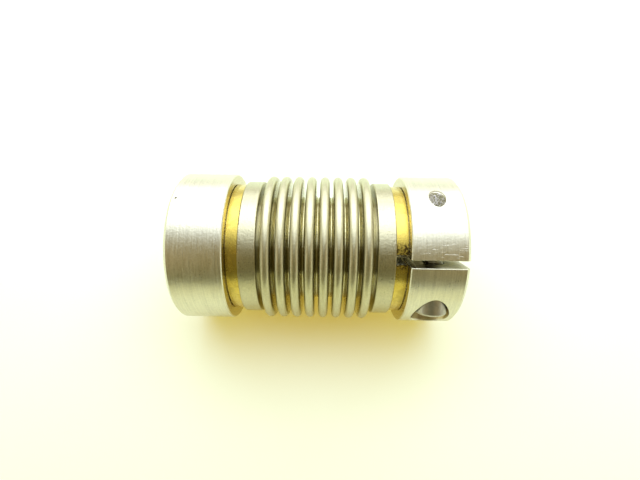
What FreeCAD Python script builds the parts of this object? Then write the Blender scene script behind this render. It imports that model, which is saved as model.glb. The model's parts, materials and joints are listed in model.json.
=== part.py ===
import FreeCAD, Part
import os
from math import ceil, cos, radians, sin, sqrt

# Metal bellows shaft coupling with a clamping hub at each end, lying on its side.
#
# Frame: +X along the coupling's axis, +Z up, origin on the axis at mid-length. Millimetres.
# The two ends are the same parts: those at -X are the +X ones turned end for end and then
# rolled a little, so that no screw head is between a hub and the surface it lies on.

V = FreeCAD.Vector
CENTRE = V(0, 0, 0)
AXIS = V(1, 0, 0)

# Hubs
hub_radius = 20.0
hub_length = 13.9           # the full-diameter length
outer_chamfer = 0.8         # at the coupling's two end faces
inner_chamfer = 0.25        # at the faces towards the bellows
bore_radius = 8.0
bore_chamfer = 0.5

# Necks: the stepped-down run of each hub, under a thin brass sleeve
neck_length = 3.1
neck_radius = 17.3          # outside of the sleeve
sleeve_wall = 0.8
sleeve_relief = 0.2         # groove left between the sleeve and the hub's face

# Collars: steel rings over the bellows' plain ends
collar_radius = 18.1
collar_length = 4.45
collar_edge = 0.35          # rounding of the outer edges

# Bellows: two nested plies of one convoluted shape
convolutions = 8
pitch = 3.52
crest_radius = 19.65
root_radius = 14.0
rib_width = 2.44
end_land = 1.15             # plain run between the last rib and a collar
ply_wall = 0.2
ply_gap = 0.1
cuff_play = 0.15            # between a ply's end and the hub's shoulder

# Fits, radial
push_fit = 0.02             # sleeve on its neck
cuff_fit = 0.05             # plies inside a collar and over a spigot

# Clamp slit and its cap screw
slit_width = 1.9
slit_edge = 0.12            # chamfer along the slit's outer edges
sleeve_setback = 0.75       # the sleeve stops this far short of the slit, above it
slit_elevation = 50.0       # degrees above the horizontal, on the -Y side
end_roll = 26.0             # degrees about +X, of the -X end from directly opposite
seat_depth = 9.0            # from the slit's middle plane to the screw head's seat
bore_web = 0.3              # metal left between the bore and the counterbore
screw_length = 20.0
thread_crest_radius = 2.45
thread_core_radius = 2.05
thread_pitch = 0.8
thread_fit = 0.06
shank_play = 0.3
screw_point = 0.4
thread_runout = 1.6
threads_past_tip = 1        # in the tapped hole, beyond the screw; the rest is plain drilling
head_radius = 4.15
head_height = 5.0
head_rounding = 0.7
head_play = 0.55
socket_flats = 4.0
socket_depth = 2.5

# Stations along the axis, from the middle outwards
rib_gap = pitch - rib_width
bellows_half = convolutions * pitch / 2 - rib_gap / 2 + end_land
neck_start = bellows_half + collar_length
hub_start = neck_start + neck_length
hub_end = hub_start + hub_length

# Radii that follow from the fits
spigot_radius = root_radius - 2 * ply_wall - ply_gap - cuff_fit
collar_bore_radius = root_radius + cuff_fit
core_radius = neck_radius - sleeve_wall
shank_hole_radius = thread_crest_radius + shank_play
counterbore_radius = head_radius + head_play

# The slit runs outwards along slit_direction. The screw crosses it at right angles, with
# its head on the side that screw_direction points to.
slit_direction = V(0, -cos(radians(slit_elevation)), sin(radians(slit_elevation)))
screw_direction = V(0, -sin(radians(slit_elevation)), -cos(radians(slit_elevation)))
screw_offset = bore_radius + bore_web + counterbore_radius
screw_centre = AXIS * (hub_start + hub_length / 2) + slit_direction * screw_offset


def revolve(edges, axis):
    """Closed solid of revolution from edges in order around its section."""
    face = Part.Face(Part.Wire(edges))
    solid = face.revolve(CENTRE, axis, 360)
    return Part.Solid(solid.Shells[0]) if solid.ShapeType != "Solid" else solid


def turned(outline):
    """Piece turned about the coupling's axis, from the (x, radius) corners of its section."""
    corners = [V(x, 0, r) for x, r in outline]
    return revolve(list(Part.makePolygon(corners + corners[:1]).Edges), AXIS)


def line(start, end):
    return Part.LineSegment(V(start[0], 0, start[1]), V(end[0], 0, end[1])).toShape()


def arc(centre, radius, first, last):
    """Circular arc in the section plane, between two angles from +X towards the rim."""
    def at(angle):
        return V(centre[0] + radius * cos(radians(angle)), 0, centre[1] + radius * sin(radians(angle)))
    return Part.Arc(at(first), at((first + last) / 2), at(last)).toShape()


def on_screw_axis(shape):
    """Moves a shape from the Z axis to the right-hand screw's axis, with its head's end outwards."""
    shape.Placement = FreeCAD.Placement(screw_centre, FreeCAD.Rotation(V(0, 0, 1), screw_direction))
    return shape


def end_for_end(shape):
    """The same piece at the other end of the coupling."""
    copy = shape.copy()
    copy.rotate(CENTRE, screw_direction, 180)
    copy.rotate(CENTRE, AXIS, end_roll)
    return copy


def thread(bottom, turns, core, crest):
    """Section of a thread as rings, so that it can turn in place: (radius, z) corners upwards."""
    outline = []
    for turn in range(turns):
        start = bottom + turn * thread_pitch
        outline += [
            (core, start + thread_pitch / 8),
            (crest, start + thread_pitch * 7 / 16),
            (crest, start + thread_pitch * 9 / 16),
            (core, start + thread_pitch * 7 / 8),
        ]
    return outline


def chain(corners):
    return [line(start, end) for start, end in zip(corners, corners[1:])]


screw_tip = seat_depth - screw_length
thread_bottom = screw_tip + screw_point


def clamp_screw():
    """Socket head cap screw, tightened: its head on the counterbore's floor."""
    turns = int((screw_length - screw_point - thread_runout) / thread_pitch)
    head_top = seat_depth + head_height
    flat = head_radius - head_rounding
    below = [(0, screw_tip), (thread_core_radius - screw_point, screw_tip), (thread_core_radius, thread_bottom)]
    rod = thread(thread_bottom, turns, thread_core_radius, thread_crest_radius)
    head = [(thread_core_radius, seat_depth), (head_radius, seat_depth), (head_radius, head_top - head_rounding)]
    section = chain(below + rod + head)
    section.append(arc((flat, head_top - head_rounding), head_rounding, 0, 90))
    section += chain([(flat, head_top), (0, head_top), (0, screw_tip)])
    socket_radius = socket_flats / sqrt(3)
    hexagon = [V(socket_radius * cos(radians(a)), socket_radius * sin(radians(a)), head_top - socket_depth)
               for a in range(0, 361, 60)]
    socket = Part.Face(Part.makePolygon(hexagon)).extrude(V(0, 0, head_height))
    return on_screw_axis(revolve(section, V(0, 0, 1)).cut(socket))


def tapped_hole():
    """Hole drilled through the far ear, threaded from the slit to just past the screw's tip."""
    bottom = thread_bottom - threads_past_tip * thread_pitch
    turns = ceil((-slit_width / 2 - bottom) / thread_pitch)
    top = bottom + turns * thread_pitch
    core = thread_core_radius + thread_fit
    rings = thread(bottom, turns, core, thread_crest_radius + thread_fit)
    drilled = [(0, -hub_radius), (core, -hub_radius)]
    section = chain(drilled + rings + [(core, top), (0, top), (0, -hub_radius)])
    return on_screw_axis(revolve(section, V(0, 0, 1)))


def head_hole():
    """Clearance hole and counterbore through the near ear."""
    shank = Part.makeCylinder(shank_hole_radius, seat_depth + 1)
    counterbore = Part.makeCylinder(counterbore_radius, hub_radius, V(0, 0, seat_depth))
    return on_screw_axis(shank.fuse(counterbore))


def across_slit(outline):
    """Block along the hub and neck, from (across, outwards) corners about the slit's middle plane."""
    corners = [AXIS * neck_start + screw_direction * a + slit_direction * s for a, s in outline]
    run = hub_end - neck_start + 1
    return Part.Face(Part.makePolygon(corners + corners[:1])).extrude(AXIS * run)


def slit():
    """Saw cut from the bore out through the hub and neck, with its outer edges broken."""
    half = slit_width / 2
    rim = sqrt(hub_radius ** 2 - half ** 2)
    past = hub_radius - rim + 0.5
    cut = across_slit([(-half, 0), (half, 0), (half, rim + 1), (-half, rim + 1)])
    bevel = across_slit([
        (-half, rim - slit_edge),
        (half, rim - slit_edge),
        (half + slit_edge + past, rim + past),
        (-half - slit_edge - past, rim + past),
    ])
    return cut.fuse(bevel)


def hub():
    """Clamping hub: spigot for the bellows, neck, and the split clamp with its screw holes."""
    body = turned([
        (bellows_half, bore_radius),
        (bellows_half, spigot_radius),
        (neck_start, spigot_radius),
        (neck_start, core_radius),
        (hub_start, core_radius),
        (hub_start, hub_radius - inner_chamfer),
        (hub_start + inner_chamfer, hub_radius),
        (hub_end - outer_chamfer, hub_radius),
        (hub_end, hub_radius - outer_chamfer),
        (hub_end, bore_radius + bore_chamfer),
        (hub_end - bore_chamfer, bore_radius),
    ])
    return body.cut([slit(), tapped_hole(), head_hole()])


def sleeve_gap():
    """What the sleeve leaves open above the slit, so that its lip can't close over it."""
    near = -slit_width / 2
    far = near - sleeve_setback
    return across_slit([(near, 0), (far, 0), (far, hub_radius), (near, hub_radius)])


def neck_sleeve():
    """Thin brass sleeve on the neck, split with it."""
    ring = turned([
        (neck_start, core_radius + push_fit),
        (neck_start, neck_radius),
        (hub_start - sleeve_relief, neck_radius),
        (hub_start - sleeve_relief, core_radius + push_fit),
    ])
    return ring.cut([slit(), sleeve_gap()])


def collar():
    """Steel ring round the bellows' plain end, against the neck's shoulder."""
    low = bellows_half
    high = neck_start
    rim = collar_radius - collar_edge
    return revolve([
        line((low, collar_bore_radius), (low, rim)),
        arc((low + collar_edge, rim), collar_edge, 180, 90),
        line((low + collar_edge, collar_radius), (high - collar_edge, collar_radius)),
        arc((high - collar_edge, rim), collar_edge, 90, 0),
        line((high, rim), (high, collar_bore_radius)),
        line((high, collar_bore_radius), (low, collar_bore_radius)),
    ], AXIS)


def bellows_line(depth):
    """The convoluted line that lies depth below the bellows' outer face, from -X to +X."""
    crown = rib_width / 2 - depth
    valley = rib_gap / 2 + depth
    crown_centre = crest_radius - rib_width / 2
    valley_centre = root_radius + rib_gap / 2
    plain = root_radius - depth
    cuff_end = neck_start - cuff_play
    first = -(convolutions - 1) * pitch / 2
    edges = [
        line((-cuff_end, plain), (first - pitch / 2, plain)),
        arc((first - pitch / 2, valley_centre), valley, -90, 0),
    ]
    for number in range(convolutions):
        x = first + number * pitch
        edges += [
            line((x - crown, valley_centre), (x - crown, crown_centre)),
            arc((x, crown_centre), crown, 180, 0),
            line((x + crown, crown_centre), (x + crown, valley_centre)),
        ]
        if number < convolutions - 1:
            edges.append(arc((x + pitch / 2, valley_centre), valley, -180, 0))
    last = -first
    edges += [
        arc((last + pitch / 2, valley_centre), valley, -180, -90),
        line((last + pitch / 2, plain), (cuff_end, plain)),
    ]
    return edges


def bellows_ply(depth):
    """One thin-walled ply, with its outer face depth below the bellows' outer face."""
    outer = bellows_line(depth)
    inner = bellows_line(depth + ply_wall)
    cuff_end = neck_start - cuff_play
    high = root_radius - depth
    ends = [line((x, high), (x, high - ply_wall)) for x in (-cuff_end, cuff_end)]
    return revolve(Part.__sortEdges__(outer + inner + ends), AXIS)


def build():
    ends = {
        "hub": hub(),
        "neck_sleeve": neck_sleeve(),
        "collar": collar(),
        "clamp_screw": clamp_screw(),
    }
    parts = {
        "bellows_outer_ply": bellows_ply(0),
        "bellows_inner_ply": bellows_ply(ply_wall + ply_gap),
    }
    for name, shape in ends.items():
        parts["right_" + name] = shape
        parts["left_" + name] = end_for_end(shape)
    return parts


os.makedirs("parts", exist_ok=True)
for name, shape in build().items():
    box = shape.BoundBox
    print(
        f"{name:18} solids {len(shape.Solids)} valid {shape.isValid()} volume {shape.Volume:9.2f} "
        f"x {box.XMin:7.2f} {box.XMax:7.2f} y {box.YMin:7.2f} {box.YMax:7.2f} z {box.ZMin:7.2f} {box.ZMax:7.2f}"
    )
    shape.exportStep(f"parts/{name}.step")
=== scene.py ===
import json
from math import cos, pi, radians, sin

import bpy
from bpy.props import FloatProperty, FloatVectorProperty, IntProperty, PointerProperty
from bpy.types import NodeSocket, Operator, Panel, PropertyGroup
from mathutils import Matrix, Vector


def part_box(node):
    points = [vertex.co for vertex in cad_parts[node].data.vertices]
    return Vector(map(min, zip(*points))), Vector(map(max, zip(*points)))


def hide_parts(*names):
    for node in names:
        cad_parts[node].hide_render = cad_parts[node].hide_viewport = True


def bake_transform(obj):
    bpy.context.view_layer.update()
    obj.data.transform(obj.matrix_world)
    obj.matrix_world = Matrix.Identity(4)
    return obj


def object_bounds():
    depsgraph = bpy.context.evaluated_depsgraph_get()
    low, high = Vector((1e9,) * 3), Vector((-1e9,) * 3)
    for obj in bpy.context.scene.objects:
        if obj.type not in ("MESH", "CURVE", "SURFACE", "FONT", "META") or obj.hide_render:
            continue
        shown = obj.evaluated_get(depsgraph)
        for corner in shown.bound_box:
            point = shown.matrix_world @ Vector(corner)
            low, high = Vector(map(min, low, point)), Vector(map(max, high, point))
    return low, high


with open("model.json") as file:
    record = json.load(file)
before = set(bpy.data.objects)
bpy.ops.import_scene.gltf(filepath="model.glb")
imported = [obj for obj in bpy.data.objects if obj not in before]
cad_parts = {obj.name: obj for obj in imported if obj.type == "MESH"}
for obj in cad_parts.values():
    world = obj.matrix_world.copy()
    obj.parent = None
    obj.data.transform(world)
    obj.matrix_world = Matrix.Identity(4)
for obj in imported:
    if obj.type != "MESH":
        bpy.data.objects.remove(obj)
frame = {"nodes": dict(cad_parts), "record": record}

# A metal bellows shaft coupling on a pale floor, in metres, in the frame of its imported CAD model.
# The turned pieces are the CAD's own. The bellows' two plies are built here, each as three
# lengths of tube between the bodies they join.

bl_info = {
    "name": "Bellows Coupling",
    "version": (1, 0, 0),
    "blender": (4, 5, 0),
    "location": "View3D > Sidebar > Coupling",
    "description": "Builds a metal bellows shaft coupling with clamping hubs, and its studio",
    "category": "Object",
}

bpy.context.view_layer.update()
cad_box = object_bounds()

MM = 0.001


def radius_of(node):
    """Outside radius of a CAD node turned about the X axis."""
    return round(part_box(node)[1].z, 5)


def outer_end(node):
    """Where a CAD node ends along the axis, on the +X side."""
    return round(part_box(node)[1].x, 5)


def screw_line(name):
    """A point on a clamp screw's own line, and the line's direction, by the name of its joint."""
    joints = frame["record"]["behaviour"]["joints"]
    joint = next(joint for joint in joints if joint["name"] == name)
    return joint["pos_m"], joint["axis"]


# ---------------------------------------------------------------------------------------
# Settings
# ---------------------------------------------------------------------------------------

class BellowsSettings(PropertyGroup):
    convolutions: IntProperty(name="Convolutions", description="Number of ribs", default=8, min=4)
    pitch: FloatProperty(
        name="Pitch", description="From one rib to the next", default=3.52 * MM, unit="LENGTH")
    crest_radius: FloatProperty(
        name="Crest Radius", description="Outside radius of the ribs",
        default=radius_of("bellows_outer_ply"), unit="LENGTH")
    root_radius: FloatProperty(
        name="Root Radius", description="Outside radius between the ribs and at the cuffs",
        default=14 * MM, unit="LENGTH")
    rib_width: FloatProperty(
        name="Rib Width", description="Outside width of one rib", default=2.44 * MM, unit="LENGTH")
    cuff_end: FloatProperty(
        name="Cuff End", description="Where the plain ends stop, from the middle",
        default=outer_end("bellows_outer_ply"), unit="LENGTH")
    ply_wall: FloatProperty(
        name="Ply Wall", description="Thickness of one ply", default=0.2 * MM, unit="LENGTH")
    ply_gap: FloatProperty(
        name="Ply Gap", description="Clearance between the plies", default=0.1 * MM, unit="LENGTH")
    bending_ribs: IntProperty(
        name="Bending Ribs", description="Ribs at each end that tilt; the rest stretch", default=2)
    sides: IntProperty(name="Sides", description="Steps round the axis", default=240)
    arc_steps: IntProperty(name="Arc Steps", description="Steps in a quarter turn of a rib", default=6)


class FinishSettings(PropertyGroup):
    hub: FloatVectorProperty(
        name="Hub", description="Turned aluminium", subtype="COLOR",
        default=(0.73, 0.71, 0.52))
    neck: FloatVectorProperty(
        name="Neck", description="Polished brass", subtype="COLOR",
        default=(0.61, 0.47, 0.08))
    collar: FloatVectorProperty(
        name="Collar", description="Brushed steel", subtype="COLOR",
        default=(0.56, 0.53, 0.33))
    bellows: FloatVectorProperty(
        name="Bellows", description="Satin steel", subtype="COLOR",
        default=(0.58, 0.55, 0.34))
    screw: FloatVectorProperty(
        name="Screw", description="Bright steel", subtype="COLOR",
        default=(0.50, 0.48, 0.38))
    line_spacing: FloatProperty(
        name="Line Spacing", description="Between the hubs' turning lines", default=0.32 * MM,
        unit="LENGTH")


class StageSettings(PropertyGroup):
    floor_size: FloatProperty(
        name="Floor Size", description="Side of the floor", default=4.0, unit="LENGTH")
    floor_colour: FloatVectorProperty(
        name="Floor Colour", description="Matt floor", subtype="COLOR", default=(0.57, 0.74, 0.84))
    floor_glow: FloatVectorProperty(
        name="Floor Glow", description="Added to the floor where it is seen or mirrored",
        subtype="COLOR", default=(0.41, 0.26, 0.015))
    fill_colour: FloatVectorProperty(
        name="Fill Colour", description="Light from all round", subtype="COLOR",
        default=(0.92, 0.86, 0.24))
    backdrop_colour: FloatVectorProperty(
        name="Backdrop Colour", description="What is seen and mirrored past the floor",
        subtype="COLOR", default=(1.0, 0.98, 0.88))
    shade_colour: FloatVectorProperty(
        name="Shade Colour", description="Unlit side of the studio, above and in front",
        subtype="COLOR", default=(0.162, 0.148, 0.067))
    shade_side_colour: FloatVectorProperty(
        name="Shade Side Colour", description="Its two sides, which catch some warm light",
        subtype="COLOR", default=(0.47, 0.355, 0.175))
    shade_width: FloatProperty(
        name="Shade Width", description="Of the unlit side, along the coupling", default=0.9,
        unit="LENGTH")
    key_colour: FloatVectorProperty(
        name="Key Colour", description="Of both soft boxes", subtype="COLOR",
        default=(0.69, 0.765, 1.0))
    key_power: FloatProperty(
        name="Key Power", description="Soft box above", default=13.2, subtype="POWER")
    back_power: FloatProperty(
        name="Back Power", description="Narrow soft box behind", default=2.5, subtype="POWER")
    lens: FloatProperty(name="Lens", description="Focal length, in millimetres", default=21.14)
    camera_azimuth: FloatProperty(
        name="Camera Azimuth", description="Round the object, from straight in front",
        default=radians(1.2), subtype="ANGLE")
    camera_elevation: FloatProperty(
        name="Camera Elevation", description="Above the horizon", default=radians(59.6),
        subtype="ANGLE")
    camera_distance: FloatProperty(
        name="Camera Distance", description="From what it looks at", default=107.3 * MM,
        unit="LENGTH")
    camera_aim: FloatVectorProperty(
        name="Camera Aim", description="What it looks at", default=(0.6 * MM, 1.7 * MM, 1.0 * MM),
        subtype="TRANSLATION")


# ---------------------------------------------------------------------------------------
# Node tools
# ---------------------------------------------------------------------------------------

class Tree:
    """A node tree under construction. Sockets and plain values are given to it alike."""

    def __init__(self, tree):
        self.tree = tree

    def feed(self, socket, value):
        if isinstance(value, NodeSocket):
            self.tree.links.new(value, socket)
        elif value is not None:
            socket.default_value = value

    def add(self, kind, inputs=None, **settings):
        """New node. inputs are by name or number; settings are the node's own properties."""
        node = self.tree.nodes.new(kind)
        for name, value in settings.items():
            setattr(node, name, value)
        for key, value in (inputs or {}).items():
            self.feed(node.inputs[key], value)
        return node

    def math(self, operation, a, b=None, c=None, clamp=False):
        node = self.add("ShaderNodeMath", {0: a, 1: b, 2: c}, operation=operation, use_clamp=clamp)
        return node.outputs[0]

    def sum(self, *values):
        total = values[0]
        for value in values[1:]:
            total = self.math("ADD", total, value)
        return total

    def times(self, *values):
        product = values[0]
        for value in values[1:]:
            product = self.math("MULTIPLY", product, value)
        return product

    def minus(self, a, b):
        return self.math("SUBTRACT", a, b)

    def over(self, a, b):
        return self.math("DIVIDE", a, b)

    def ramp(self, value, none, full, interpolation="LINEAR"):
        """0 where a value is at or past one end and 1 where it is at or past the other."""
        node = self.add("ShaderNodeMapRange", {"Value": value, "From Min": none, "From Max": full},
                        interpolation_type=interpolation)
        return node.outputs[0]

    def place(self):
        """Object coordinates."""
        return self.add("ShaderNodeTexCoord").outputs["Object"]

    def input(self, name, kind, default=None, unit="NONE"):
        """Named input of a group."""
        socket = self.tree.interface.new_socket(name, in_out="INPUT", socket_type=kind)
        if default is not None:
            socket.default_value = default
        if unit != "NONE":
            socket.subtype = unit

    def result(self, name, kind, value):
        """Ends a group with its one output, and returns the group."""
        self.tree.interface.new_socket(name, in_out="OUTPUT", socket_type=kind)
        self.feed(self.add("NodeGroupOutput").inputs[name], value)
        return self.tree


def shader_group(name):
    group = bpy.data.node_groups.new(name, "ShaderNodeTree")
    return Tree(group)


def new_material(name):
    """Material with an output and a Principled shader, as (tree, shader)."""
    material = bpy.data.materials.new(name)
    material.use_nodes = True
    material.node_tree.nodes.clear()
    tree = Tree(material.node_tree)
    shader = tree.add("ShaderNodeBsdfPrincipled")
    output = tree.add("ShaderNodeOutputMaterial")
    tree.feed(output.inputs["Surface"], shader.outputs["BSDF"])
    return material, tree, shader


# ---------------------------------------------------------------------------------------
# Shared surface effects
# ---------------------------------------------------------------------------------------

def lathe_lines():
    """Turning lines: rings about the X axis on any turned face, flat or round."""
    tree = shader_group("Lathe Lines")
    tree.input("Spacing", "NodeSocketFloat", 0.3 * MM)
    tree.input("Waver", "NodeSocketFloat", 0.05)
    given = tree.add("NodeGroupInput").outputs
    x, y, z = tree.add("ShaderNodeSeparateXYZ", {0: tree.place()}).outputs
    radius = tree.math("SQRT", tree.sum(tree.times(y, y), tree.times(z, z)))
    across = tree.times(tree.sum(y, z), given["Waver"])
    section = tree.add("ShaderNodeCombineXYZ", {0: x, 1: radius, 2: across}).outputs[0]
    noise = tree.add("ShaderNodeTexNoise", {
        "Vector": section, "Scale": tree.over(1.0, given["Spacing"]), "Detail": 3.0, "Roughness": 0.65,
    })
    return tree.result("Height", "NodeSocketFloat", noise.outputs["Fac"])


def fine_speckle():
    """Fine isotropic grain, as fine blasting or handling leaves on metal."""
    tree = shader_group("Fine Speckle")
    tree.input("Size", "NodeSocketFloat", 0.15 * MM)
    given = tree.add("NodeGroupInput").outputs
    noise = tree.add("ShaderNodeTexNoise", {
        "Vector": tree.place(), "Scale": tree.over(1.0, given["Size"]), "Detail": 2.0, "Roughness": 0.6,
    })
    return tree.result("Speckle", "NodeSocketFloat", noise.outputs["Fac"])


def smudges():
    """Soft patches where a finish was touched or wiped."""
    tree = shader_group("Smudges")
    tree.input("Size", "NodeSocketFloat", 6 * MM)
    given = tree.add("NodeGroupInput").outputs
    noise = tree.add("ShaderNodeTexNoise", {
        "Vector": tree.place(), "Scale": tree.over(1.0, given["Size"]), "Detail": 4.0,
        "Roughness": 0.55, "Distortion": 0.6,
    })
    patches = tree.ramp(noise.outputs["Fac"], none=0.42, full=0.68)
    return tree.result("Smudge", "NodeSocketFloat", patches)


def drill_distance():
    """Distance from a straight line through a point, such as a clamp screw's own line."""
    tree = shader_group("Drill Distance")
    tree.input("Point", "NodeSocketVector")
    tree.input("Direction", "NodeSocketVector")
    given = tree.add("NodeGroupInput").outputs
    offset = tree.add("ShaderNodeVectorMath", {0: tree.place(), 1: given["Point"]},
                      operation="SUBTRACT").outputs[0]
    turned = tree.add("ShaderNodeVectorMath", {0: offset, 1: given["Direction"]},
                      operation="CROSS_PRODUCT").outputs[0]
    length = tree.add("ShaderNodeVectorMath", {0: turned}, operation="LENGTH").outputs["Value"]
    return tree.result("Distance", "NodeSocketFloat", length)


def slit_height():
    """Height above a hub's slit, against its screw's axis. Past the hub's own axis it adds a metre,
    so that nothing on the side that the slit doesn't cut lies near it."""
    tree = shader_group("Slit Height")
    tree.input("Screw Point", "NodeSocketVector")
    tree.input("Screw Direction", "NodeSocketVector")
    given = tree.add("NodeGroupInput").outputs
    place = tree.place()
    height = tree.add("ShaderNodeVectorMath", {0: place, 1: given["Screw Direction"]},
                      operation="DOT_PRODUCT").outputs["Value"]
    radial = tree.add("ShaderNodeVectorMath", {0: given["Screw Point"], 1: (0.0, 1.0, 1.0)},
                      operation="MULTIPLY").outputs[0]
    side = tree.add("ShaderNodeVectorMath", {0: place, 1: radial},
                    operation="DOT_PRODUCT").outputs["Value"]
    uncut = tree.math("LESS_THAN", side, 0.0)
    return tree.result("Height", "NodeSocketFloat", tree.sum(tree.times(height, -1.0), uncut))


def scratches():
    """Short bright scratches along the axis, as a tool that slipped leaves them."""
    tree = shader_group("Scratches")
    tree.input("Length", "NodeSocketFloat", 1 * MM)
    tree.input("Width", "NodeSocketFloat", 0.1 * MM)
    stagger = 12.0        # widths up for each length along
    given = tree.add("NodeGroupInput").outputs
    x, y, z = tree.add("ShaderNodeSeparateXYZ", {0: tree.place()}).outputs
    along = tree.sum(tree.over(x, given["Length"]), tree.over(z, tree.times(given["Width"], stagger)))
    section = tree.add("ShaderNodeCombineXYZ", {
        0: along, 1: tree.over(y, given["Width"]), 2: tree.over(z, given["Width"]),
    }).outputs[0]
    noise = tree.add("ShaderNodeTexNoise", {"Vector": section, "Scale": 0.6, "Detail": 1.0})
    sharp = tree.ramp(noise.outputs["Fac"], none=0.675, full=0.73)
    return tree.result("Scratch", "NodeSocketFloat", sharp)


EFFECTS = {
    "Lathe Lines": lathe_lines,
    "Fine Speckle": fine_speckle,
    "Smudges": smudges,
    "Drill Distance": drill_distance,
    "Slit Height": slit_height,
    "Scratches": scratches,
}


def placed(tree, effect, inputs):
    """One use of a shared effect in a material. The effect is built on its first use."""
    group = bpy.data.node_groups.get(effect) or EFFECTS[effect]()
    return tree.add("ShaderNodeGroup", inputs, node_tree=group).outputs[0]


# ---------------------------------------------------------------------------------------
# Masks and colours
# ---------------------------------------------------------------------------------------

def band(tree, value, start, end, edge):
    """1 where a value lies between two others, fading to 0 over an edge outside them."""
    return tree.times(tree.ramp(value, start - edge, start), tree.ramp(value, end + edge, end))


def from_axis(tree):
    """Place along the axis, distance along it from the middle, and distance from it."""
    x, y, z = tree.add("ShaderNodeSeparateXYZ", {0: tree.place()}).outputs
    radius = tree.math("SQRT", tree.sum(tree.times(y, y), tree.times(z, z)))
    return x, tree.math("ABSOLUTE", x), radius


def screw_distance(tree, side):
    """Distance from the line of the left or right clamp screw."""
    point, axis = screw_line(side + "_screw_turn")
    return placed(tree, "Drill Distance", {"Point": point, "Direction": axis})


def above_slit(tree, side):
    """Height above the left or right hub's slit."""
    point, axis = screw_line(side + "_screw_turn")
    return placed(tree, "Slit Height", {"Screw Point": point, "Screw Direction": axis})


def spread(tree, value, low, high):
    """A value from 0 to 1 laid out between two others."""
    return tree.add("ShaderNodeMapRange", {"Value": value, "From Min": 0.0, "From Max": 1.0,
                                           "To Min": low, "To Max": high}).outputs[0]


def multiplied(tree, colour, by, share):
    """A colour multiplied by another, by as much as the share says."""
    mix = tree.add("ShaderNodeMix", data_type="RGBA", blend_type="MULTIPLY")
    tree.feed(mix.inputs["Factor"], share)
    tree.feed(mix.inputs["A"], colour)
    tree.feed(mix.inputs["B"], by)
    return mix.outputs["Result"]


def varied(tree, colour, value, dark, light):
    """A colour made darker and lighter by a noise, whose middle half is used."""
    share = tree.add("ShaderNodeMapRange", {"Value": value, "From Min": 0.25, "From Max": 0.75,
                                            "To Min": dark, "To Max": light}).outputs[0]
    grey = tree.add("ShaderNodeCombineXYZ", {0: share, 1: share, 2: share}).outputs[0]
    return multiplied(tree, (*colour, 1.0), grey, 1.0)


def tinted(tree, colour, mask, tint):
    """A colour multiplied by a tint where a mask says so."""
    return multiplied(tree, colour, (*tint, 1.0), mask)


def grained(tree, lines, speckle, share):
    """Turning lines with a share of speckle in them."""
    return tree.sum(tree.times(lines, 1.0 - share), tree.times(speckle, share))


def bump(tree, shader, height, depth):
    node = tree.add("ShaderNodeBump", {"Strength": 1.0, "Distance": depth, "Height": height})
    tree.feed(shader.inputs["Normal"], node.outputs["Normal"])


# ---------------------------------------------------------------------------------------
# Finishes
# ---------------------------------------------------------------------------------------

SPECKLE = 0.45 * MM             # size of the grain on every metal but the screws'

# Cuts and marks on the hubs
SKIN = 0.5 * MM                 # what lies deeper than this below the outside is a cut or a face
FACED = (0.2 * MM, 0.3 * MM)    # before and past the hub's inner face
TAPPED_REACH = 2.5 * MM         # from the screw's line to just past the tapped hole's wall
BORED_REACH = 5.2 * MM          # and to just past the counterbore's
OFF_SLIT = 2 * MM               # from the slit's middle to where both holes count
SLIT_REACH = 1.0 * MM           # from the slit's middle to just past its walls
CUT_SHADE_STOP = 1.5 * MM             # before the screw, where the painted shade in the cuts begins to thin out
CUT_SHADE_FADE = 2 * MM
SCRATCHED = (1.6 * MM, 4.6 * MM)        # heights above the slit
SCRATCHES_START = 2 * MM        # past the hub's inner face
BURRED = (-1.0 * MM, 2.6 * MM)          # heights above the slit
BURRS_STOP = 1.2 * MM           # past the hub's inner face
NICK_FROM_END = 1.6 * MM
NICK_TURN = radians(95)         # round the axis, from the front over the top
NICK_RADIUS = 0.2 * MM

# What they do to the hubs' colour, in the order in which they are laid on. Most are painted
# shade or painted glints.
HUB_TINTS = {
    # Painted shade in the cuts between the neck sleeve and the screw
    "oily": (0.42, 0.38, 0.30),
    # Painted warm shade on the hub's inner face
    "faced": (0.80, 0.72, 0.52),
    # Painted shade between the burrs beside the slit, and painted glints on the burrs
    "between burrs": (0.22, 0.20, 0.15),
    "burrs": (1.15, 1.15, 1.1),
    "nick": (0.25, 0.24, 0.22),
    # Painted shade between the torn flecks in the tapped hole
    "torn": (0.68, 0.66, 0.56),
    # Painted brown shade inside the counterbore
    "bored": (0.90, 0.80, 0.62),
    # Painted glints on the torn flecks in the tapped hole
    "torn edges": (1.15, 1.15, 1.5),
    "scratches": (1.15, 1.15, 1.4),
}

# How much rougher each makes them
HUB_ROUGHNESS = {"faced": -0.1, "tapped": 0.35, "scratches": -0.1, "sawn dry": 0.45}

# Relief, as shares of the turned grain's height
TORN_HEIGHT = 4.0
SCRATCH_HEIGHT = 0.5
NICK_HEIGHT = -1.5

# Burrs on the neck sleeve beside the slit, with painted shade in dark specks among them
NECK_BURRED = (-1.5 * MM, 3.7 * MM)     # heights above the slit
NECK_BURR_SHADE = (0.18, 0.15, 0.12)

# Depths under a rib's crown between which the bellows goes from matt to smooth
MATT_TO = 0.6 * MM
SMOOTH_FROM = 1.8 * MM
# Faint painted shade on the smooth metal between the ribs
VALLEY_SHADE = (1.0, 0.98, 0.95)


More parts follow.
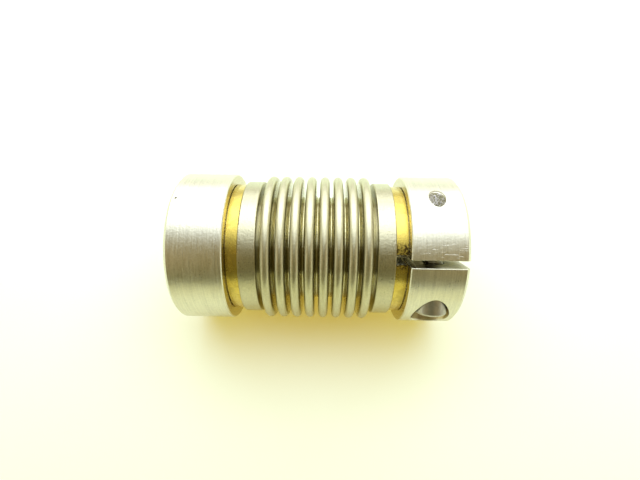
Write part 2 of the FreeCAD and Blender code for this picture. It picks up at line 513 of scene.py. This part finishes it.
def hub_masks(tree):
    """Where the hubs' inner faces, cuts and marks are: 1 there and 0 elsewhere."""
    x, along, radius = from_axis(tree)
    start = outer_end("right_neck_sleeve")
    skin = radius_of("right_hub")
    screw = screw_line("right_screw_turn")[0][0]
    right = tree.math("GREATER_THAN", x, 0.0)
    above = above_slit(tree, "right")
    own_above = tree.sum(tree.times(above, right),
                         tree.times(above_slit(tree, "left"), tree.minus(1.0, right)))
    near = tree.math("MINIMUM", screw_distance(tree, "right"), screw_distance(tree, "left"))
    under = band(tree, radius, 0.0, skin - SKIN, edge=0.3 * MM)
    nick = (NICK_FROM_END - outer_end("right_hub"), -skin * cos(NICK_TURN), skin * sin(NICK_TURN))
    from_nick = tree.add("ShaderNodeVectorMath", {0: tree.place(), 1: nick},
                         operation="DISTANCE").outputs["Value"]
    # Where painted shade lies in the cuts, from the neck sleeve to before the screw
    oily = tree.times(under, band(tree, along, start, screw - CUT_SHADE_STOP, edge=CUT_SHADE_FADE))
    sawn = band(tree, own_above, -SLIT_REACH, SLIT_REACH, edge=0.02 * MM)
    return {
        "under": under,
        "oily": oily,
        "faced": band(tree, along, start - FACED[0], start + FACED[1], edge=0.05 * MM),
        "tapped": tree.times(under, band(tree, near, 0.0, TAPPED_REACH, edge=0.1 * MM),
                             tree.math("GREATER_THAN", above, OFF_SLIT)),
        # The counterbore, which gets painted shade
        "bored": tree.times(under, band(tree, near, 0.0, BORED_REACH, edge=0.1 * MM),
                            tree.math("LESS_THAN", own_above, -OFF_SLIT)),
        "sawn dry": tree.times(sawn, tree.minus(1.0, oily)),
        "scratches": tree.times(placed(tree, "Scratches", {"Length": 2.2 * MM, "Width": 0.13 * MM}),
                                band(tree, above, *SCRATCHED, edge=0.3 * MM),
                                tree.math("GREATER_THAN", x, start + SCRATCHES_START)),
        "burred": tree.times(under, right, band(tree, along, 0.0, start + BURRS_STOP, edge=0.8 * MM),
                             band(tree, above, *BURRED, edge=0.3 * MM)),
        "nick": band(tree, from_nick, 0.0, NICK_RADIUS, edge=0.15 * MM),
    }


def hub_aluminium(settings):
    """Turned aluminium: fine rings and speckle, smoother where it was faced, dull in its cuts, with torn
    metal in the tapped hole and burrs and scratches beside the slit. Painted shade darkens its cuts
    between the neck and the screw, the inner face, the counterbore and the gaps between the torn and
    burred flecks, and painted glints lighten the flecks themselves."""
    material, tree, shader = new_material("Turned Aluminium")
    lines = placed(tree, "Lathe Lines", {"Spacing": settings.line_spacing, "Waver": 0.04})
    speckle = placed(tree, "Fine Speckle", {"Size": SPECKLE})
    smudge = placed(tree, "Smudges", {"Size": 7 * MM})
    grain = grained(tree, lines, speckle, share=0.35)
    where = hub_masks(tree)
    flecks = tree.ramp(speckle, none=0.42, full=0.60)
    gaps = tree.minus(1.0, flecks)
    free_of_cut_shade = tree.math("MAXIMUM", where["tapped"], where["faced"])
    # Shares of the tints, most of them painted shade or painted glints
    shares = {
        "oily": tree.times(where["oily"], tree.minus(1.0, free_of_cut_shade)),
        "faced": tree.times(where["under"], where["faced"]),
        "between burrs": tree.times(where["burred"], gaps),
        "burrs": tree.times(where["burred"], flecks),
        "nick": where["nick"],
        "torn": tree.times(where["tapped"], gaps),
        "bored": where["bored"],
        "torn edges": tree.times(where["tapped"], flecks),
        "scratches": where["scratches"],
    }
    tone = varied(tree, settings.hub, grain, dark=0.78, light=1.16)
    for name, tint in HUB_TINTS.items():
        tone = tinted(tree, tone, shares[name], tint)
    tree.feed(shader.inputs["Base Color"], tone)
    rough = tree.sum(spread(tree, grain, low=0.18, high=0.42), tree.times(smudge, 0.05))
    for name, added in HUB_ROUGHNESS.items():
        rough = tree.sum(rough, tree.times(where[name], added))
    tree.feed(shader.inputs["Roughness"], rough)
    shader.inputs["Metallic"].default_value = 1.0
    torn = tree.math("MAXIMUM", where["tapped"], where["burred"])
    relief = tree.sum(
        grain,
        tree.times(torn, speckle, TORN_HEIGHT),
        tree.times(where["scratches"], SCRATCH_HEIGHT),
        tree.times(where["nick"], NICK_HEIGHT),
    )
    bump(tree, shader, relief, depth=0.09 * MM)
    return material


def neck_brass(settings):
    """Thin polished brass with faint turning lines, a little tarnish, and burrs at the slit, darkened by
    painted shade in specks.
    """
    material, tree, shader = new_material("Polished Brass")
    lines = placed(tree, "Lathe Lines", {"Spacing": 0.25 * MM, "Waver": 0.08})
    speckle = placed(tree, "Fine Speckle", {"Size": SPECKLE})
    smudge = placed(tree, "Smudges", {"Size": 3 * MM})
    burrs = placed(tree, "Fine Speckle", {"Size": 0.7 * MM})
    # Dark specks of painted shade among the burrs beside the right hub's slit
    burred = tree.times(tree.ramp(burrs, none=0.48, full=0.54),
                        band(tree, above_slit(tree, "right"), *NECK_BURRED, edge=0.9 * MM),
                        tree.math("GREATER_THAN", from_axis(tree)[0], 0.0))
    tone = varied(tree, settings.neck, smudge, dark=1.06, light=0.84)
    tree.feed(shader.inputs["Base Color"], tinted(tree, tone, burred, NECK_BURR_SHADE))
    tree.feed(shader.inputs["Roughness"], tree.sum(spread(tree, lines, low=0.18, high=0.32),
                                                   tree.times(smudge, 0.08)))
    shader.inputs["Metallic"].default_value = 1.0
    shader.inputs["Coat Weight"].default_value = 0.4
    shader.inputs["Coat Roughness"].default_value = 0.2
    bump(tree, shader, grained(tree, lines, speckle, share=0.6), depth=0.04 * MM)
    return material


def collar_steel(settings):
    """Fine brushed steel, brushed round the axis."""
    material, tree, shader = new_material("Brushed Steel")
    lines = placed(tree, "Lathe Lines", {"Spacing": 0.22 * MM, "Waver": 0.12})
    speckle = placed(tree, "Fine Speckle", {"Size": SPECKLE})
    grain = grained(tree, lines, speckle, share=0.6)
    tree.feed(shader.inputs["Base Color"], varied(tree, settings.collar, grain, dark=0.80, light=1.16))
    tree.feed(shader.inputs["Roughness"], spread(tree, grain, low=0.20, high=0.40))
    shader.inputs["Metallic"].default_value = 1.0
    bump(tree, shader, grain, depth=0.09 * MM)
    return material


def bellows_steel(settings):
    """Satin steel: matt with fine speckle over the crowns, smooth and darkened by a faint painted shade
    between them.
    """
    material, tree, shader = new_material("Satin Steel")
    lines = placed(tree, "Lathe Lines", {"Spacing": 0.4 * MM, "Waver": 0.1})
    speckle = placed(tree, "Fine Speckle", {"Size": SPECKLE})
    smudge = placed(tree, "Smudges", {"Size": 5 * MM})
    crown = radius_of("bellows_outer_ply")
    deep = tree.ramp(from_axis(tree)[2], none=crown - MATT_TO, full=crown - SMOOTH_FROM)
    grain = grained(tree, lines, speckle, share=0.65)
    tone = varied(tree, settings.bellows, grain, dark=0.80, light=1.16)
    tree.feed(shader.inputs["Base Color"], tinted(tree, tone, deep, VALLEY_SHADE))
    tree.feed(shader.inputs["Roughness"], tree.sum(spread(tree, grain, low=0.24, high=0.42),
                                                   tree.times(smudge, 0.04), tree.times(deep, -0.19)))
    shader.inputs["Metallic"].default_value = 1.0
    bump(tree, shader, grain, depth=0.06 * MM)
    return material


def screw_steel(settings):
    """Bright drawn steel, with the finest grain of all."""
    material, tree, shader = new_material("Bright Steel")
    speckle = placed(tree, "Fine Speckle", {"Size": 0.3 * MM})
    smudge = placed(tree, "Smudges", {"Size": 2 * MM})
    tree.feed(shader.inputs["Base Color"], varied(tree, settings.screw, smudge, dark=1.0, light=0.82))
    tree.feed(shader.inputs["Roughness"], tree.sum(spread(tree, speckle, low=0.28, high=0.40),
                                                   tree.times(smudge, 0.1)))
    shader.inputs["Metallic"].default_value = 1.0
    bump(tree, shader, speckle, depth=0.004 * MM)
    return material


FINISHES = {
    "hub_aluminium": hub_aluminium,
    "neck_brass": neck_brass,
    "collar_steel": collar_steel,
    "bellows_steel": bellows_steel,
    "screw_steel": screw_steel,
}


def finish_of(slot, settings):
    """The finish for one of the record's material slots, made once."""
    name = "finish_" + slot
    material = bpy.data.materials.get(name)
    if material is None:
        material = FINISHES[slot](settings)
        material.name = name
    return material


def finish_nodes(nodes, slot, settings):
    """Gives CAD nodes a finish in place of their plain one."""
    material = finish_of(slot, settings)
    for name in nodes:
        for place in frame["nodes"][name].material_slots:
            place.material = material


# ---------------------------------------------------------------------------------------
# Bellows
# ---------------------------------------------------------------------------------------

FLANK_STEPS = 2                 # steps in a flank, of which there is one in each half wave
SHARP_ANGLE = radians(50)


def ply_tree():
    """Tube whose section is a run of quarter valleys, flanks and quarter crowns, turned about X.

    A half wave is a quarter valley, a flank and a quarter crown. Step 0 is the bottom of the
    first valley, and the steps just outside the waves are the cuffs' ends.
    """
    tree = Tree(bpy.data.node_groups.new("Bellows Ply", "GeometryNodeTree"))
    for name in ("Pitch", "Crest Radius", "Root Radius", "Rib Width", "Cuff End", "Depth"):
        tree.input(name, "NodeSocketFloat", 1 * MM, unit="DISTANCE")
    for name in ("Convolutions", "Arc Steps", "Sides", "First Step", "Last Step"):
        tree.input(name, "NodeSocketInt", 8)
    tree.input("Material", "NodeSocketMaterial")
    given = tree.add("NodeGroupInput").outputs
    crown = tree.minus(tree.over(given["Rib Width"], 2.0), given["Depth"])
    valley = tree.minus(tree.over(given["Pitch"], 2.0), crown)
    crown_centre = tree.minus(tree.minus(given["Crest Radius"], given["Depth"]), crown)
    valley_centre = tree.sum(tree.minus(given["Root Radius"], given["Depth"]), valley)

    # How far each step is up its half wave
    arc = given["Arc Steps"]
    half_wave = tree.sum(tree.times(arc, 2.0), FLANK_STEPS)
    waves = tree.times(given["Convolutions"], 2.0)
    last = tree.times(waves, half_wave)
    count = tree.sum(tree.minus(given["Last Step"], given["First Step"]), 1.0)
    step = tree.sum(tree.add("GeometryNodeInputIndex").outputs[0], given["First Step"])
    on_wave = tree.math("MINIMUM", tree.math("MAXIMUM", step, 0.0), last)
    up = tree.math("PINGPONG", on_wave, half_wave)
    valley_turn = tree.times(tree.math("DIVIDE", up, arc, clamp=True), pi / 2)
    flank = tree.math("DIVIDE", tree.minus(up, arc), FLANK_STEPS, clamp=True)
    crown_step = tree.minus(up, tree.sum(arc, FLANK_STEPS))
    crown_turn = tree.times(tree.math("DIVIDE", crown_step, arc, clamp=True), pi / 2)

    # How far that is out from the axis, and along it from the middle of the valley
    out_by = tree.sum(
        tree.minus(valley_centre, tree.times(valley, tree.math("COSINE", valley_turn))),
        tree.times(flank, tree.minus(crown_centre, valley_centre)),
        tree.times(crown, tree.math("SINE", crown_turn)),
    )
    along = tree.sum(
        tree.times(valley, tree.math("SINE", valley_turn)),
        tree.times(crown, tree.minus(1.0, tree.math("COSINE", crown_turn))),
    )

    # Rising half waves start at a valley, falling ones end at one
    number = tree.math("FLOOR", tree.over(on_wave, half_wave))
    number = tree.math("MINIMUM", number, tree.minus(waves, 1.0))
    falling = tree.math("MODULO", number, 2.0)
    half_pitch = tree.over(given["Pitch"], 2.0)
    turn_round = tree.minus(half_pitch, tree.times(along, 2.0))
    on_half_wave = tree.sum(along, tree.times(falling, turn_round))
    wave_start = tree.times(half_pitch, tree.minus(number, tree.over(waves, 2.0)))
    cuff = tree.minus(given["Cuff End"], tree.times(half_pitch, tree.over(waves, 2.0)))
    past_end = tree.minus(tree.math("GREATER_THAN", step, last), tree.math("LESS_THAN", step, 0.0))
    station = tree.sum(wave_start, on_half_wave, tree.times(cuff, past_end))

    # The section is laid out beside a circle's line, and carried round it
    line = tree.add("GeometryNodeMeshLine", {"Count": count})
    lift = tree.minus(out_by, given["Root Radius"])
    place = tree.add("ShaderNodeCombineXYZ", {0: lift, 1: station}).outputs[0]
    section = tree.add("GeometryNodeSetPosition", {"Geometry": line.outputs[0], "Position": place})
    section = tree.add("GeometryNodeMeshToCurve", {"Mesh": section.outputs[0]})
    circle = tree.add("GeometryNodeCurvePrimitiveCircle",
                      {"Resolution": given["Sides"], "Radius": given["Root Radius"]})
    tube = tree.add("GeometryNodeCurveToMesh", {"Curve": circle.outputs[0],
                                                "Profile Curve": section.outputs[0]})
    turned = tree.add("GeometryNodeTransform", {"Geometry": tube.outputs[0],
                                                "Rotation": (0.0, -pi / 2, 0.0)})
    real = tree.add("GeometryNodeRealizeInstances", {0: turned.outputs[0]})
    made = tree.add("GeometryNodeSetMaterial", {"Geometry": real.outputs[0],
                                                "Material": given["Material"]})
    return tree.result("Geometry", "NodeSocketGeometry", made.outputs[0])


def built(name, modifiers_on, tree, inputs):
    """Runs a geometry tree and more modifiers on a new piece, and makes the result its mesh."""
    piece = bpy.data.objects.new(name, bpy.data.meshes.new(name))
    bpy.context.scene.collection.objects.link(piece)
    modifier = piece.modifiers.new("Shape", "NODES")
    modifier.node_group = tree
    for item in tree.interface.items_tree:
        if item.in_out == "INPUT":
            modifier[item.identifier] = inputs[item.name]
    modifiers_on(piece)
    piece.update_tag()
    bpy.context.view_layer.update()
    graph = bpy.context.evaluated_depsgraph_get()
    mesh = bpy.data.meshes.new_from_object(piece.evaluated_get(graph), depsgraph=graph)
    if not mesh.polygons:
        raise RuntimeError(f"{name} has no faces")
    piece.modifiers.clear()
    piece.data = mesh
    mesh.name = name
    return piece


def build_ply(name, node, depth, sides, sizes, material):
    """One ply in three lengths: the ribs at each end, and the middle ones between them."""
    half_wave = 2 * sizes.arc_steps + FLANK_STEPS
    waves = 2 * sizes.convolutions
    seam_wave = 2 * sizes.bending_ribs - 0.5        # halfway down the last bending rib's far flank
    last_step = waves * half_wave
    seams = [-1, int(seam_wave * half_wave), int(last_step - seam_wave * half_wave), last_step + 1]

    tree = bpy.data.node_groups.get("Bellows Ply") or ply_tree()

    def wall(piece):
        solidify = piece.modifiers.new("Wall", "SOLIDIFY")
        solidify.thickness = sizes.ply_wall
        solidify.offset = -1.0
        solidify.use_even_offset = True

    for number, length in enumerate(("left", "middle", "right")):
        piece = built(f"{name}_{length}", wall, tree, {
            "Convolutions": sizes.convolutions, "Pitch": sizes.pitch,
            "Crest Radius": sizes.crest_radius, "Root Radius": sizes.root_radius,
            "Rib Width": sizes.rib_width, "Cuff End": sizes.cuff_end, "Depth": depth,
            "Arc Steps": sizes.arc_steps, "Sides": sides, "First Step": seams[number],
            "Last Step": seams[number + 1], "Material": material,
        })
        mesh = piece.data
        mesh.polygons.foreach_set("use_smooth", [True] * len(mesh.polygons))
        mesh.set_sharp_from_angle(angle=SHARP_ANGLE)
        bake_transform(piece)
        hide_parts(node)


# ---------------------------------------------------------------------------------------
# Stage
# ---------------------------------------------------------------------------------------

FLOOR_RUN = (0.25, 0.9)         # distances between which the floor goes over into the backdrop
FADED_WIDTH = 0.3               # where the shade's ends thin out, from its middle, as a share of its width

# The shade is a length of tube round the X axis. Its angles go up from straight in front.
SHADE_RADIUS = 0.25
SHADE_STEPS = 24
SHADE_FOOT = radians(-3.8)
SHADE_TOP = radians(110)
FOOT_EDGE = radians(7)          # from the foot to where the shade is full, as metal mirrors it
SOFT_FOOT = (0.0, radians(40))  # from none to full, for the light that it stops
TOP_EDGE = radians(42)          # where it starts to thin out towards its top
TOP_EDGE_ASIDE = radians(62)    # and the same to the left and right of the coupling
ASIDE = (0.055, 0.08)           # along X, from over the coupling to beside it
LEAN = radians(16)              # by which foot and top draw together for each metre towards +X
WARM = (radians(36), radians(54))       # angles at which its sides are warm
WARM_EDGE = radians(30)
WARM_ASIDE = (0.06, 0.11)       # along X, from none of that warmth to all of it

# The soft boxes' angles go up from straight in front too, so past 90 degrees is behind.
LAMP_DISTANCE = 0.7
LAMP_LENGTH = 1.5               # along the coupling
KEY_ANGLE = radians(97)
KEY_HEIGHT = 1.05
BACK_ANGLE = radians(149)
BACK_HEIGHT = 0.36


def direction(azimuth, elevation):
    """Unit vector from the object, with azimuth 0 in front of it, at -Y."""
    return Vector((sin(azimuth) * cos(elevation), -cos(azimuth) * cos(elevation), sin(elevation)))


def staged(name, points, faces, material):
    """New piece of the studio, which isn't part of the coupling."""
    mesh = bpy.data.meshes.new(name)
    mesh.from_pydata(points, [], faces)
    mesh.materials.append(material)
    thing = bpy.data.objects.new(name, mesh)
    bpy.context.scene.collection.objects.link(thing)
    return thing


def seen_or_mirrored(tree):
    """1 for what the camera sees, directly, in metal or through glass, and 0 for light it gives."""
    path = tree.add("ShaderNodeLightPath").outputs
    return tree.math("MAXIMUM", path["Is Camera Ray"], tree.math("MAXIMUM", path["Is Glossy Ray"],
                                                                path["Is Transmission Ray"]))


def add_floor(settings):
    """Matt floor under the hubs, brighter where it is seen, that goes over into the backdrop."""
    half = settings.floor_size / 2
    level = cad_box[0].z
    material, tree, shader = new_material("Floor")
    tree.feed(shader.inputs["Base Color"], (*settings.floor_colour, 1.0))
    shader.inputs["Roughness"].default_value = 0.8
    shader.inputs["Specular IOR Level"].default_value = 0.2
    away = tree.add("ShaderNodeVectorMath", {0: tree.place()}, operation="LENGTH").outputs["Value"]
    far = tree.ramp(away, *FLOOR_RUN, interpolation="SMOOTHSTEP")

    # Far off, the glow makes up what the fill's light on the floor lacks of the backdrop
    lit = [albedo * fill for albedo, fill in zip(settings.floor_colour, settings.fill_colour)]
    rest = [seen - share for seen, share in zip(settings.backdrop_colour, lit)]
    glow = tree.add("ShaderNodeMix", data_type="RGBA")
    tree.feed(glow.inputs["Factor"], far)
    tree.feed(glow.inputs["A"], (*settings.floor_glow, 1.0))
    tree.feed(glow.inputs["B"], (*rest, 1.0))
    tree.feed(shader.inputs["Emission Color"], glow.outputs["Result"])
    tree.feed(shader.inputs["Emission Strength"], seen_or_mirrored(tree))
    corners = [(-half, -half, level), (half, -half, level), (half, half, level), (-half, half, level)]
    staged("floor", corners, [(0, 1, 2, 3)], material)


def shade_material(settings):
    """Dull card that thins out towards all its edges, so that nothing mirrors a hard edge. Its foot
    is far softer for the light it stops than in mirrors, so it draws no line on the floor."""
    material = bpy.data.materials.new("Shade")
    material.use_nodes = True
    material.node_tree.nodes.clear()
    tree = Tree(material.node_tree)
    x, y, z = tree.add("ShaderNodeSeparateXYZ", {0: tree.place()}).outputs
    elevation = tree.math("ARCTAN2", z, tree.times(y, -1.0))
    aside = tree.math("ABSOLUTE", x)
    lean = tree.times(x, LEAN)

    def fade(value, none, full):
        return tree.ramp(value, none, full, interpolation="SMOOTHSTEP")

    def chosen(share, first, second):
        mix = tree.add("ShaderNodeMix", {"Factor": share}, data_type="FLOAT")
        tree.feed(mix.inputs["A"], first)
        tree.feed(mix.inputs["B"], second)
        return mix.outputs["Result"]

    raised = tree.sum(elevation, lean)
    top = chosen(fade(aside, *ASIDE), fade(raised, SHADE_TOP, TOP_EDGE),
                 fade(raised, SHADE_TOP, TOP_EDGE_ASIDE))
    mirrored = tree.add("ShaderNodeLightPath").outputs["Is Glossy Ray"]
    foot = chosen(mirrored, fade(elevation, *SOFT_FOOT),
                  fade(tree.minus(elevation, lean), SHADE_FOOT, SHADE_FOOT + FOOT_EDGE))
    ends = fade(aside, settings.shade_width / 2, settings.shade_width * FADED_WIDTH)
    cover = tree.times(foot, top, ends)
    warm = band(tree, elevation, *WARM, edge=WARM_EDGE)
    colour = tree.add("ShaderNodeMix", data_type="RGBA")
    tree.feed(colour.inputs["Factor"], tree.times(fade(aside, *WARM_ASIDE), warm))
    tree.feed(colour.inputs["A"], (*settings.shade_colour, 1.0))
    tree.feed(colour.inputs["B"], (*settings.shade_side_colour, 1.0))
    glow = tree.add("ShaderNodeEmission", {"Color": colour.outputs["Result"]})
    clear = tree.add("ShaderNodeBsdfTransparent")
    mix = tree.add("ShaderNodeMixShader", {0: cover, 1: clear.outputs[0], 2: glow.outputs[0]})
    out = tree.add("ShaderNodeOutputMaterial")
    tree.feed(out.inputs["Surface"], mix.outputs[0])
    return material


def add_shade(settings):
    """Unlit part of the studio, over and in front of the object. The camera doesn't see it."""
    half = settings.shade_width / 2
    ring = [SHADE_FOOT + (SHADE_TOP - SHADE_FOOT) * n / SHADE_STEPS for n in range(SHADE_STEPS + 1)]
    points = [(x, -SHADE_RADIUS * cos(a), SHADE_RADIUS * sin(a)) for a in ring for x in (-half, half)]
    faces = [(2 * n, 2 * n + 1, 2 * n + 3, 2 * n + 2) for n in range(SHADE_STEPS)]
    shade = staged("shade", points, faces, shade_material(settings))
    shade.visible_camera = False


def add_soft_box(name, elevation, height, power, colour):
    """Rectangular light along the coupling, turned towards it."""
    light = bpy.data.lights.new(name, "AREA")
    light.shape = "RECTANGLE"
    light.size = LAMP_LENGTH
    light.size_y = height
    light.energy = power
    light.color = colour
    lamp = bpy.data.objects.new(name, light)
    bpy.context.scene.collection.objects.link(lamp)
    towards = direction(0.0, elevation)
    lamp.location = towards * LAMP_DISTANCE
    lamp.rotation_mode = "QUATERNION"
    lamp.rotation_quaternion = towards.to_track_quat("Z", "Y")


def add_lights(settings):
    """A soft box above, a weaker one behind it, and even light from all round."""
    add_soft_box("key", KEY_ANGLE, KEY_HEIGHT, settings.key_power, settings.key_colour)
    add_soft_box("back", BACK_ANGLE, BACK_HEIGHT, settings.back_power, settings.key_colour)
    world = bpy.data.worlds.new("studio")
    bpy.context.scene.world = world
    world.use_nodes = True
    tree = Tree(world.node_tree)
    colour = tree.add("ShaderNodeMix", data_type="RGBA")
    tree.feed(colour.inputs["Factor"], seen_or_mirrored(tree))
    tree.feed(colour.inputs["A"], (*settings.fill_colour, 1.0))
    tree.feed(colour.inputs["B"], (*settings.backdrop_colour, 1.0))
    tree.feed(world.node_tree.nodes["Background"].inputs["Color"], colour.outputs["Result"])


def add_camera(settings):
    camera = bpy.data.objects.new("camera", bpy.data.cameras.new("camera"))
    bpy.context.scene.collection.objects.link(camera)
    camera.data.lens = settings.lens
    camera.data.sensor_width = 36.0
    camera.data.clip_start = 0.005
    back = direction(settings.camera_azimuth, settings.camera_elevation)
    camera.location = Vector(settings.camera_aim) + back * settings.camera_distance
    camera.rotation_mode = "QUATERNION"
    camera.rotation_quaternion = back.to_track_quat("Z", "Y")
    bpy.context.scene.camera = camera


# ---------------------------------------------------------------------------------------
# Operators
# ---------------------------------------------------------------------------------------

class COUPLING_OT_bellows(Operator):
    """Build both plies of the bellows"""
    bl_idname = "coupling.bellows"
    bl_label = "Bellows"

    def execute(self, context):
        sizes = context.scene.coupling_bellows
        material = finish_of("bellows_steel", context.scene.coupling_finish)
        inner_depth = sizes.ply_wall + sizes.ply_gap
        inner_sides = sizes.sides * 2 // 3        # it is hardly seen
        build_ply("outer_ply", "bellows_outer_ply", 0.0, sizes.sides, sizes, material)
        build_ply("inner_ply", "bellows_inner_ply", inner_depth, inner_sides, sizes, material)
        return {"FINISHED"}


class COUPLING_OT_hubs(Operator):
    """Finish both clamping hubs in turned aluminium"""
    bl_idname = "coupling.hubs"
    bl_label = "Hubs"

    def execute(self, context):
        finish_nodes(("left_hub", "right_hub"), "hub_aluminium", context.scene.coupling_finish)
        return {"FINISHED"}


class COUPLING_OT_necks(Operator):
    """Finish both neck sleeves in polished brass"""
    bl_idname = "coupling.necks"
    bl_label = "Neck Sleeves"

    def execute(self, context):
        finish_nodes(("left_neck_sleeve", "right_neck_sleeve"), "neck_brass",
                     context.scene.coupling_finish)
        return {"FINISHED"}


class COUPLING_OT_collars(Operator):
    """Finish both collars in brushed steel"""
    bl_idname = "coupling.collars"
    bl_label = "Collars"

    def execute(self, context):
        finish_nodes(("left_collar", "right_collar"), "collar_steel", context.scene.coupling_finish)
        return {"FINISHED"}


class COUPLING_OT_screws(Operator):
    """Finish both clamp screws in bright steel"""
    bl_idname = "coupling.screws"
    bl_label = "Clamp Screws"

    def execute(self, context):
        finish_nodes(("left_clamp_screw", "right_clamp_screw"), "screw_steel",
                     context.scene.coupling_finish)
        return {"FINISHED"}


class COUPLING_OT_stage(Operator):
    """Set up the floor, the lights and the camera"""
    bl_idname = "coupling.stage"
    bl_label = "Stage"

    def execute(self, context):
        settings = context.scene.coupling_stage
        add_floor(settings)
        add_shade(settings)
        add_lights(settings)
        add_camera(settings)
        context.scene.view_settings.view_transform = "Standard"
        return {"FINISHED"}


OPERATORS = (
    COUPLING_OT_hubs,
    COUPLING_OT_necks,
    COUPLING_OT_collars,
    COUPLING_OT_screws,
    COUPLING_OT_bellows,
    COUPLING_OT_stage,
)


class COUPLING_PT_panel(Panel):
    """Lists the coupling's pieces"""
    bl_idname = "COUPLING_PT_panel"
    bl_label = "Bellows Coupling"
    bl_space_type = "VIEW_3D"
    bl_region_type = "UI"
    bl_category = "Coupling"

    def draw(self, context):
        for settings in (context.scene.coupling_bellows, context.scene.coupling_finish,
                         context.scene.coupling_stage):
            box = self.layout.box()
            for name in settings.__annotations__:
                box.prop(settings, name)
        for operator in OPERATORS:
            self.layout.operator(operator.bl_idname)


SETTINGS = {
    "coupling_bellows": BellowsSettings,
    "coupling_finish": FinishSettings,
    "coupling_stage": StageSettings,
}


def register():
    for group in SETTINGS.values():
        bpy.utils.register_class(group)
    for operator in OPERATORS:
        bpy.utils.register_class(operator)
    bpy.utils.register_class(COUPLING_PT_panel)
    for name, group in SETTINGS.items():
        setattr(bpy.types.Scene, name, PointerProperty(type=group))


def unregister():
    for name in SETTINGS:
        delattr(bpy.types.Scene, name)
    bpy.utils.unregister_class(COUPLING_PT_panel)
    for operator in reversed(OPERATORS):
        bpy.utils.unregister_class(operator)
    for group in SETTINGS.values():
        bpy.utils.unregister_class(group)


def main():
    register()
    bpy.ops.coupling.hubs()
    bpy.ops.coupling.necks()
    bpy.ops.coupling.collars()
    bpy.ops.coupling.screws()
    bpy.ops.coupling.bellows()
    bpy.ops.coupling.stage()


if __name__ == "__main__":
    main()
